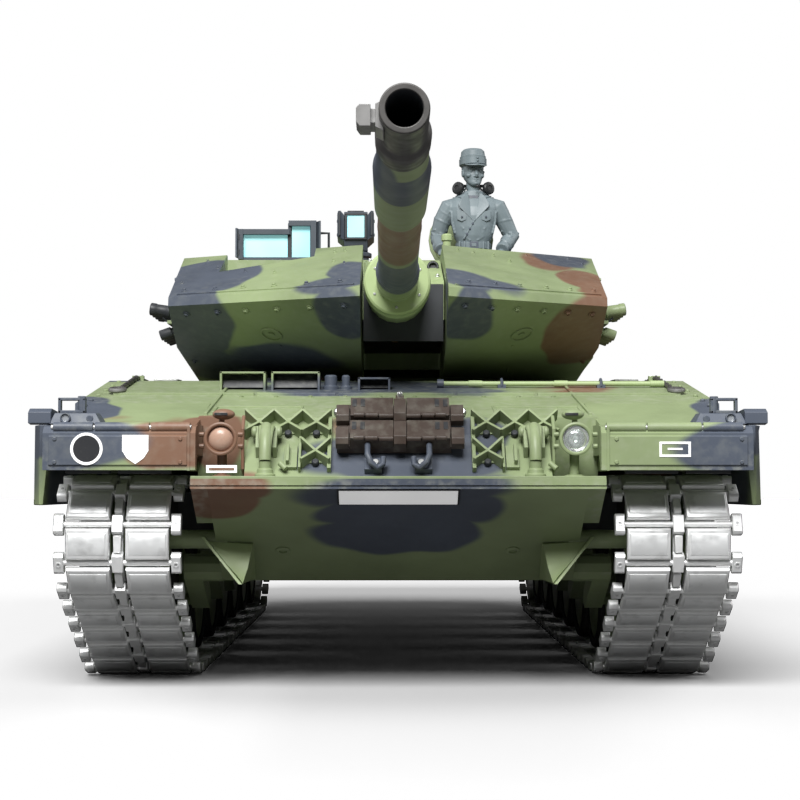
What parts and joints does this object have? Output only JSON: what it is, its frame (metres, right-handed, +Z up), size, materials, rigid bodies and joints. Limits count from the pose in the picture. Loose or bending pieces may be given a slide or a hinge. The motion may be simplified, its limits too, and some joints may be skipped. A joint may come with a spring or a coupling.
{
  "type": "rc tank",
  "caption": "Radio-controlled battle tank model with a turning turret, an elevating gun, sprung road wheels, metal link tracks, opening hatches and a crew figure in camouflage paint",
  "frame": {"origin": "on the ground, under the middle of the bounding box", "axes": "+Z up, -Y is where the tank and its gun point, +X is the tank's left side"},
  "size_m": [0.235, 0.685, 0.2174],
  "materials": {
    "green_paint": "satin camouflage paint",
    "slate_paint": "satin dark slate paint",
    "brown_paint": "satin brown paint",
    "track_metal": "bare cast metal",
    "wheel_rubber": "matt rubber",
    "barrel_metal": "painted metal tube",
    "figure_plastic": "unpainted grey plastic",
    "black_plastic": "moulded black plastic",
    "board": "green circuit board"
  },
  "bodies": {
    "hull": {"battery_pack": "black_plastic", "control_board": "board", "drive_gearboxes": "black_plastic", "driver_hatch": "green_paint", "engine_deck": "green_paint", "headlight_left": "green_paint", "headlight_right": "green_paint", "lower_hull": "green_paint", "return_rollers_left": "wheel_rubber", "return_rollers_right": "wheel_rubber", "skirt_left": "green_paint", "skirt_right": "green_paint", "spare_track_rack": "brown_paint", "track_left": "track_metal", "track_right": "track_metal", "upper_hull": "green_paint"},
    "turret": {"turret_shell": "green_paint", "armour_wedge_left": "green_paint", "armour_wedge_right": "green_paint", "gunner_sight": "slate_paint", "smoke_launchers_left": "slate_paint", "smoke_launchers_right": "slate_paint", "crew_figure": "figure_plastic"},
    "gun": {"gun_mantlet": "green_paint", "gun_barrel": "barrel_metal"},
    "sight_head": {"panoramic_sight": "slate_paint"},
    "commander_lid": {"commander_hatch": "green_paint"},
    "loader_lid": {"loader_hatch": "green_paint"},
    "arm_left_1": {"swing_arm_left_1": "green_paint"},
    "wheel_left_1": {"road_wheel_left_1": "wheel_rubber"},
    "arm_left_2": {"swing_arm_left_2": "green_paint"},
    "wheel_left_2": {"road_wheel_left_2": "wheel_rubber"},
    "arm_left_3": {"swing_arm_left_3": "green_paint"},
    "wheel_left_3": {"road_wheel_left_3": "wheel_rubber"},
    "arm_left_4": {"swing_arm_left_4": "green_paint"},
    "wheel_left_4": {"road_wheel_left_4": "wheel_rubber"},
    "arm_left_5": {"swing_arm_left_5": "green_paint"},
    "wheel_left_5": {"road_wheel_left_5": "wheel_rubber"},
    "arm_left_6": {"swing_arm_left_6": "green_paint"},
    "wheel_left_6": {"road_wheel_left_6": "wheel_rubber"},
    "arm_left_7": {"swing_arm_left_7": "green_paint"},
    "wheel_left_7": {"road_wheel_left_7": "wheel_rubber"},
    "idler_left": {"idler_wheel_left": "wheel_rubber"},
    "sprocket_left": {"drive_sprocket_left": "slate_paint"},
    "arm_right_1": {"swing_arm_right_1": "green_paint"},
    "wheel_right_1": {"road_wheel_right_1": "wheel_rubber"},
    "arm_right_2": {"swing_arm_right_2": "green_paint"},
    "wheel_right_2": {"road_wheel_right_2": "wheel_rubber"},
    "arm_right_3": {"swing_arm_right_3": "green_paint"},
    "wheel_right_3": {"road_wheel_right_3": "wheel_rubber"},
    "arm_right_4": {"swing_arm_right_4": "green_paint"},
    "wheel_right_4": {"road_wheel_right_4": "wheel_rubber"},
    "arm_right_5": {"swing_arm_right_5": "green_paint"},
    "wheel_right_5": {"road_wheel_right_5": "wheel_rubber"},
    "arm_right_6": {"swing_arm_right_6": "green_paint"},
    "wheel_right_6": {"road_wheel_right_6": "wheel_rubber"},
    "arm_right_7": {"swing_arm_right_7": "green_paint"},
    "wheel_right_7": {"road_wheel_right_7": "wheel_rubber"},
    "idler_right": {"idler_wheel_right": "wheel_rubber"},
    "sprocket_right": {"drive_sprocket_right": "slate_paint"}
  },
  "joints": [
    {"name": "turret_traverse", "type": "hinge", "parent": "hull", "child": "turret", "pos_m": [0, 0.0975, 0.1075], "axis": [0, 0, 1], "range_deg": [-160, 160]},
    {"name": "gun_elevation", "type": "hinge", "parent": "turret", "child": "gun", "pos_m": [0, 0.0285, 0.136], "axis": [-1, 0, 0], "range_deg": [-5, 18]},
    {"name": "panoramic_sight_turn", "type": "hinge", "parent": "turret", "child": "sight_head", "pos_m": [-0.0174, 0.0955, 0.1588], "axis": [0, 0, 1], "range_deg": [-150, 150]},
    {"name": "commander_hatch_hinge", "type": "hinge", "parent": "turret", "child": "commander_lid", "pos_m": [-0.038, 0.1395, 0.1644], "axis": [1, 0, 0], "range_deg": [-100, 0]},
    {"name": "loader_hatch_hinge", "type": "hinge", "parent": "turret", "child": "loader_lid", "pos_m": [0.0305, 0.142, 0.1633], "axis": [1, 0, 0], "range_deg": [-15, 0]},
    {"name": "suspension_left_1", "type": "hinge", "parent": "hull", "child": "arm_left_1", "pos_m": [0.0615, -0.0815, 0.0375], "axis": [1, 0, 0], "range_deg": [0, 9], "stiffness_Nm_per_rad": 0.15},
    {"name": "wheel_spin_left_1", "type": "hinge", "parent": "arm_left_1", "child": "wheel_left_1", "pos_m": [0.087, -0.0575, 0.0255], "axis": [1, 0, 0], "continuous": true},
    {"name": "suspension_left_2", "type": "hinge", "parent": "hull", "child": "arm_left_2", "pos_m": [0.0615, -0.03, 0.0375], "axis": [1, 0, 0], "range_deg": [0, 9], "stiffness_Nm_per_rad": 0.15},
    {"name": "wheel_spin_left_2", "type": "hinge", "parent": "arm_left_2", "child": "wheel_left_2", "pos_m": [0.087, -0.006, 0.0255], "axis": [1, 0, 0], "continuous": true},
    {"name": "suspension_left_3", "type": "hinge", "parent": "hull", "child": "arm_left_3", "pos_m": [0.0615, 0.0215, 0.0375], "axis": [1, 0, 0], "range_deg": [0, 9], "stiffness_Nm_per_rad": 0.15},
    {"name": "wheel_spin_left_3", "type": "hinge", "parent": "arm_left_3", "child": "wheel_left_3", "pos_m": [0.087, 0.0455, 0.0255], "axis": [1, 0, 0], "continuous": true},
    {"name": "suspension_left_4", "type": "hinge", "parent": "hull", "child": "arm_left_4", "pos_m": [0.0615, 0.073, 0.0375], "axis": [1, 0, 0], "range_deg": [0, 9], "stiffness_Nm_per_rad": 0.15},
    {"name": "wheel_spin_left_4", "type": "hinge", "parent": "arm_left_4", "child": "wheel_left_4", "pos_m": [0.087, 0.097, 0.0255], "axis": [1, 0, 0], "continuous": true},
    {"name": "suspension_left_5", "type": "hinge", "parent": "hull", "child": "arm_left_5", "pos_m": [0.0615, 0.1245, 0.0375], "axis": [1, 0, 0], "range_deg": [0, 9], "stiffness_Nm_per_rad": 0.15},
    {"name": "wheel_spin_left_5", "type": "hinge", "parent": "arm_left_5", "child": "wheel_left_5", "pos_m": [0.087, 0.1485, 0.0255], "axis": [1, 0, 0], "continuous": true},
    {"name": "suspension_left_6", "type": "hinge", "parent": "hull", "child": "arm_left_6", "pos_m": [0.0615, 0.176, 0.0375], "axis": [1, 0, 0], "range_deg": [0, 9], "stiffness_Nm_per_rad": 0.15},
    {"name": "wheel_spin_left_6", "type": "hinge", "parent": "arm_left_6", "child": "wheel_left_6", "pos_m": [0.087, 0.2, 0.0255], "axis": [1, 0, 0], "continuous": true},
    {"name": "suspension_left_7", "type": "hinge", "parent": "hull", "child": "arm_left_7", "pos_m": [0.0615, 0.2275, 0.0375], "axis": [1, 0, 0], "range_deg": [0, 9], "stiffness_Nm_per_rad": 0.15},
    {"name": "wheel_spin_left_7", "type": "hinge", "parent": "arm_left_7", "child": "wheel_left_7", "pos_m": [0.087, 0.2515, 0.0255], "axis": [1, 0, 0], "continuous": true},
    {"name": "idler_spin_left", "type": "hinge", "parent": "hull", "child": "idler_left", "pos_m": [0.087, -0.1065, 0.0476], "axis": [1, 0, 0], "continuous": true},
    {"name": "sprocket_spin_left", "type": "hinge", "parent": "hull", "child": "sprocket_left", "pos_m": [0.087, 0.2975, 0.0465], "axis": [1, 0, 0], "continuous": true},
    {"name": "suspension_right_1", "type": "hinge", "parent": "hull", "child": "arm_right_1", "pos_m": [-0.0615, -0.0815, 0.0375], "axis": [1, 0, 0], "range_deg": [0, 9], "stiffness_Nm_per_rad": 0.15},
    {"name": "wheel_spin_right_1", "type": "hinge", "parent": "arm_right_1", "child": "wheel_right_1", "pos_m": [-0.087, -0.0575, 0.0255], "axis": [1, 0, 0], "continuous": true},
    {"name": "suspension_right_2", "type": "hinge", "parent": "hull", "child": "arm_right_2", "pos_m": [-0.0615, -0.03, 0.0375], "axis": [1, 0, 0], "range_deg": [0, 9], "stiffness_Nm_per_rad": 0.15},
    {"name": "wheel_spin_right_2", "type": "hinge", "parent": "arm_right_2", "child": "wheel_right_2", "pos_m": [-0.087, -0.006, 0.0255], "axis": [1, 0, 0], "continuous": true},
    {"name": "suspension_right_3", "type": "hinge", "parent": "hull", "child": "arm_right_3", "pos_m": [-0.0615, 0.0215, 0.0375], "axis": [1, 0, 0], "range_deg": [0, 9], "stiffness_Nm_per_rad": 0.15},
    {"name": "wheel_spin_right_3", "type": "hinge", "parent": "arm_right_3", "child": "wheel_right_3", "pos_m": [-0.087, 0.0455, 0.0255], "axis": [1, 0, 0], "continuous": true},
    {"name": "suspension_right_4", "type": "hinge", "parent": "hull", "child": "arm_right_4", "pos_m": [-0.0615, 0.073, 0.0375], "axis": [1, 0, 0], "range_deg": [0, 9], "stiffness_Nm_per_rad": 0.15},
    {"name": "wheel_spin_right_4", "type": "hinge", "parent": "arm_right_4", "child": "wheel_right_4", "pos_m": [-0.087, 0.097, 0.0255], "axis": [1, 0, 0], "continuous": true},
    {"name": "suspension_right_5", "type": "hinge", "parent": "hull", "child": "arm_right_5", "pos_m": [-0.0615, 0.1245, 0.0375], "axis": [1, 0, 0], "range_deg": [0, 9], "stiffness_Nm_per_rad": 0.15},
    {"name": "wheel_spin_right_5", "type": "hinge", "parent": "arm_right_5", "child": "wheel_right_5", "pos_m": [-0.087, 0.1485, 0.0255], "axis": [1, 0, 0], "continuous": true},
    {"name": "suspension_right_6", "type": "hinge", "parent": "hull", "child": "arm_right_6", "pos_m": [-0.0615, 0.176, 0.0375], "axis": [1, 0, 0], "range_deg": [0, 9], "stiffness_Nm_per_rad": 0.15},
    {"name": "wheel_spin_right_6", "type": "hinge", "parent": "arm_right_6", "child": "wheel_right_6", "pos_m": [-0.087, 0.2, 0.0255], "axis": [1, 0, 0], "continuous": true},
    {"name": "suspension_right_7", "type": "hinge", "parent": "hull", "child": "arm_right_7", "pos_m": [-0.0615, 0.2275, 0.0375], "axis": [1, 0, 0], "range_deg": [0, 9], "stiffness_Nm_per_rad": 0.15},
    {"name": "wheel_spin_right_7", "type": "hinge", "parent": "arm_right_7", "child": "wheel_right_7", "pos_m": [-0.087, 0.2515, 0.0255], "axis": [1, 0, 0], "continuous": true},
    {"name": "idler_spin_right", "type": "hinge", "parent": "hull", "child": "idler_right", "pos_m": [-0.087, -0.1065, 0.0476], "axis": [1, 0, 0], "continuous": true},
    {"name": "sprocket_spin_right", "type": "hinge", "parent": "hull", "child": "sprocket_right", "pos_m": [-0.087, 0.2975, 0.0465], "axis": [1, 0, 0], "continuous": true}
  ],
  "couplings": [
    {"joint": "wheel_spin_left_1", "follows": "sprocket_spin_left", "ratio": 0.8523},
    {"joint": "wheel_spin_left_2", "follows": "sprocket_spin_left", "ratio": 0.8523},
    {"joint": "wheel_spin_left_3", "follows": "sprocket_spin_left", "ratio": 0.8523},
    {"joint": "wheel_spin_left_4", "follows": "sprocket_spin_left", "ratio": 0.8523},
    {"joint": "wheel_spin_left_5", "follows": "sprocket_spin_left", "ratio": 0.8523},
    {"joint": "wheel_spin_left_6", "follows": "sprocket_spin_left", "ratio": 0.8523},
    {"joint": "wheel_spin_left_7", "follows": "sprocket_spin_left", "ratio": 0.8523},
    {"joint": "idler_spin_left", "follows": "sprocket_spin_left", "ratio": 1.0802},
    {"joint": "wheel_spin_right_1", "follows": "sprocket_spin_right", "ratio": 0.8523},
    {"joint": "wheel_spin_right_2", "follows": "sprocket_spin_right", "ratio": 0.8523},
    {"joint": "wheel_spin_right_3", "follows": "sprocket_spin_right", "ratio": 0.8523},
    {"joint": "wheel_spin_right_4", "follows": "sprocket_spin_right", "ratio": 0.8523},
    {"joint": "wheel_spin_right_5", "follows": "sprocket_spin_right", "ratio": 0.8523},
    {"joint": "wheel_spin_right_6", "follows": "sprocket_spin_right", "ratio": 0.8523},
    {"joint": "wheel_spin_right_7", "follows": "sprocket_spin_right", "ratio": 0.8523},
    {"joint": "idler_spin_right", "follows": "sprocket_spin_right", "ratio": 1.0802}
  ]
}
